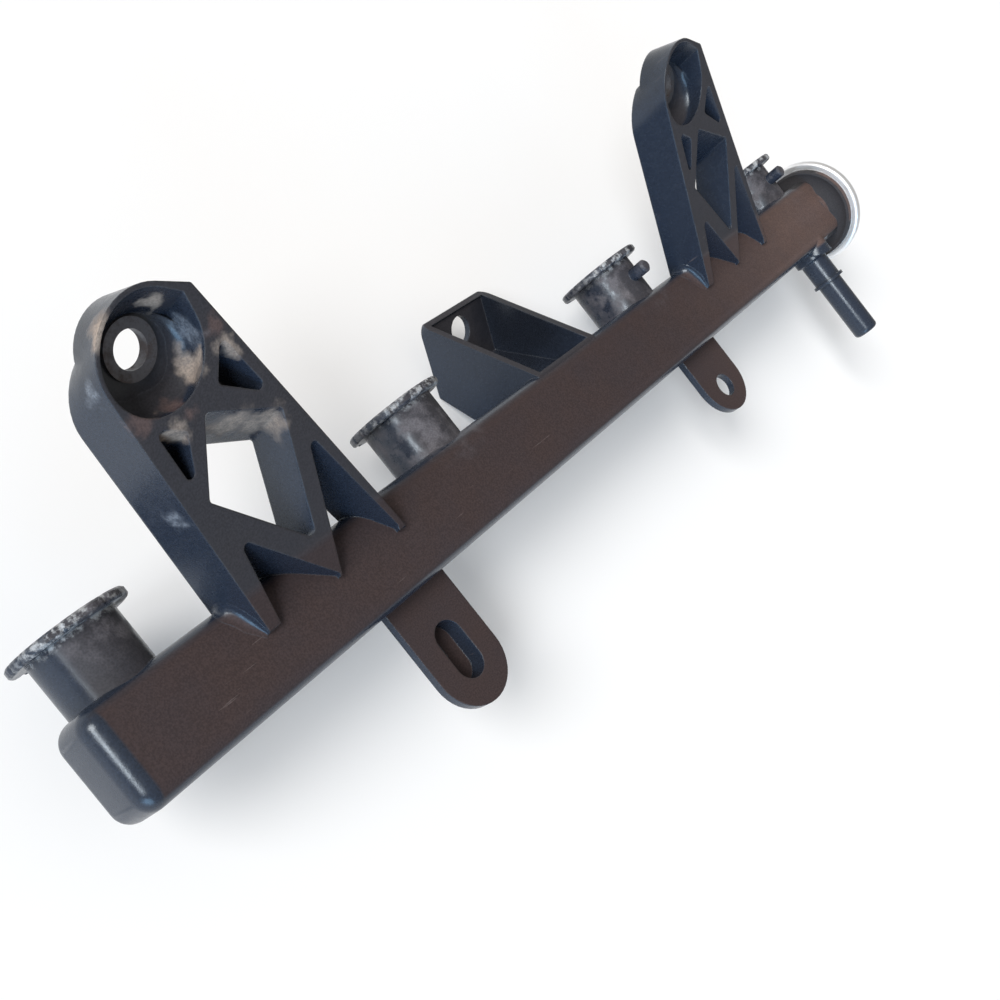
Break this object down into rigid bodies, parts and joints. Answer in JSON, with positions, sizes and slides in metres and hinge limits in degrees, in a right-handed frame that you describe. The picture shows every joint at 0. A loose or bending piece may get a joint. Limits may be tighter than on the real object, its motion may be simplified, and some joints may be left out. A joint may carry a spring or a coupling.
{
  "type": "fuel rail",
  "caption": "Moulded fuel rail for an inline engine, with injector cups, trussed bolting brackets, an inlet spout and a round pulsation damper",
  "frame": {"origin": "centre of the left bolt's seat, where the bracket meets the engine", "axes": "+X along the rail towards the damper, +Y the way the injector cups point, +Z out of the rail's plain face"},
  "size_m": [0.3124, 0.099, 0.0732],
  "materials": {
    "rail_plastic": "satin",
    "plated_steel": "satin",
    "diaphragm_rubber": "matte",
    "spring_steel": "satin",
    "seal_rubber": "matte",
    "limiter_steel": "satin"
  },
  "bodies": {
    "root": {"rail_body": "rail_plastic", "damper_housing": "plated_steel", "damper_cover": "plated_steel", "damper_diaphragm": "diaphragm_rubber", "damper_spring_seat": "plated_steel", "damper_spring": "spring_steel", "damper_seal": "seal_rubber", "compression_limiter_left": "limiter_steel", "compression_limiter_right": "limiter_steel"}
  },
  "joints": []
}
